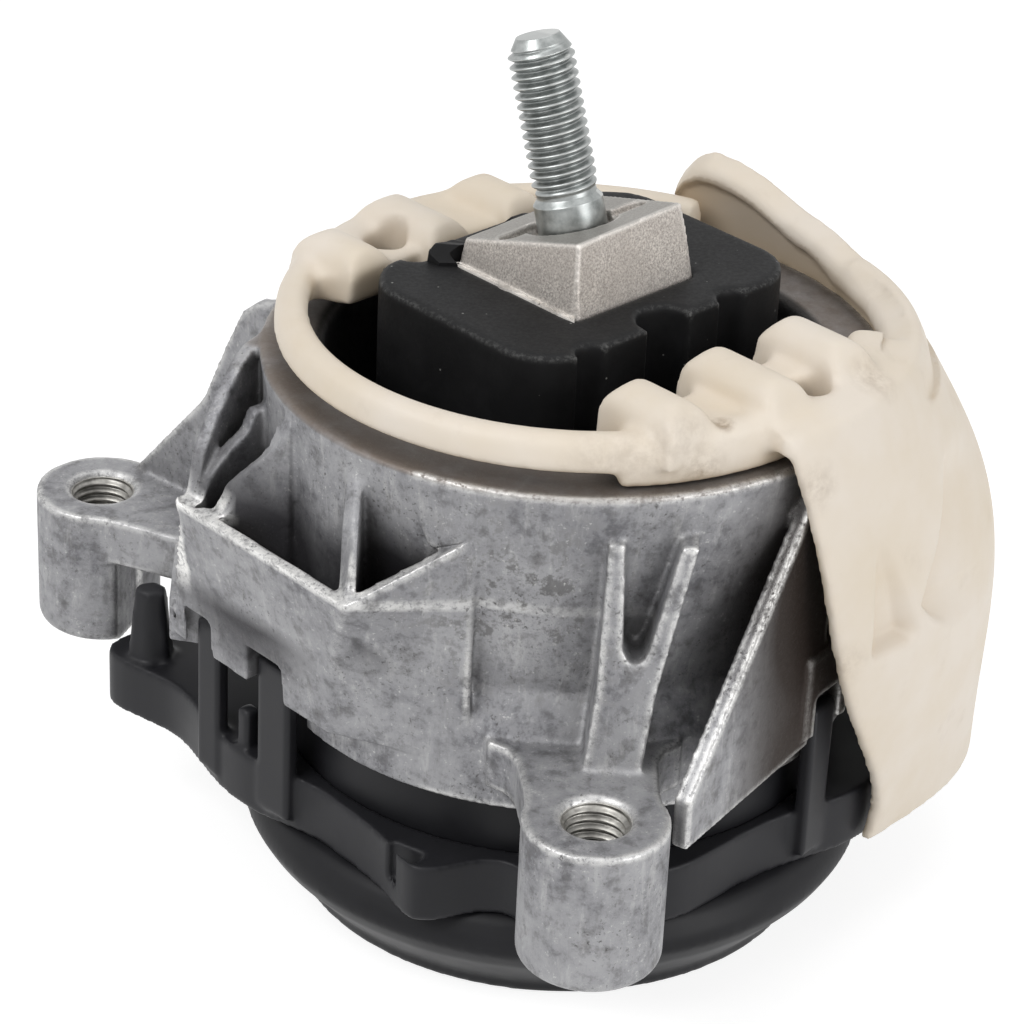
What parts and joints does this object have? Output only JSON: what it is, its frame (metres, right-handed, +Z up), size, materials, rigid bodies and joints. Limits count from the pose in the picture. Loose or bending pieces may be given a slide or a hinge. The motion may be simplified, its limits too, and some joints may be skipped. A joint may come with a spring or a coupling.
{
  "type": "engine mount",
  "caption": "Hydraulic engine mount: ribbed cast housing with bolting lugs, rubber spring round a tilted stud, clipped lower cup and a cream heat shield with a side apron.",
  "frame": {"origin": "on the housing axis, at the flat bottom of the lower cup", "axes": "+Z up along the housing axis toward the stud's end, +X to the right and +Y to the rear of the picture's front view; the front lug points to -Y"},
  "size_m": [0.1534, 0.1357, 0.1366],
  "materials": {
    "cast_aluminium": "die-cast, matte, stained",
    "core_aluminium": "die-cast, fine grain",
    "cup_plastic": "moulded black",
    "ring_plastic": "moulded, glass-filled black",
    "shield_plastic": "moulded cream",
    "channel_plastic": "moulded dark grey",
    "spring_rubber": "moulded black",
    "membrane_rubber": "moulded black",
    "bellows_rubber": "moulded black",
    "stud_steel": "zinc plated",
    "sleeve_steel": "phosphated",
    "ring_steel": "plain"
  },
  "bodies": {
    "root": {"housing": "cast_aluminium", "lower_cup": "cup_plastic", "clip_ring": "ring_plastic", "outer_sleeve": "sleeve_steel", "core": "core_aluminium", "stud": "stud_steel", "rubber_spring": "spring_rubber", "upper_channel_plate": "channel_plastic", "lower_channel_plate": "channel_plastic", "decoupler_membrane": "membrane_rubber", "bellows": "bellows_rubber", "bellows_ring": "ring_steel", "heat_shield": "shield_plastic"}
  },
  "joints": []
}
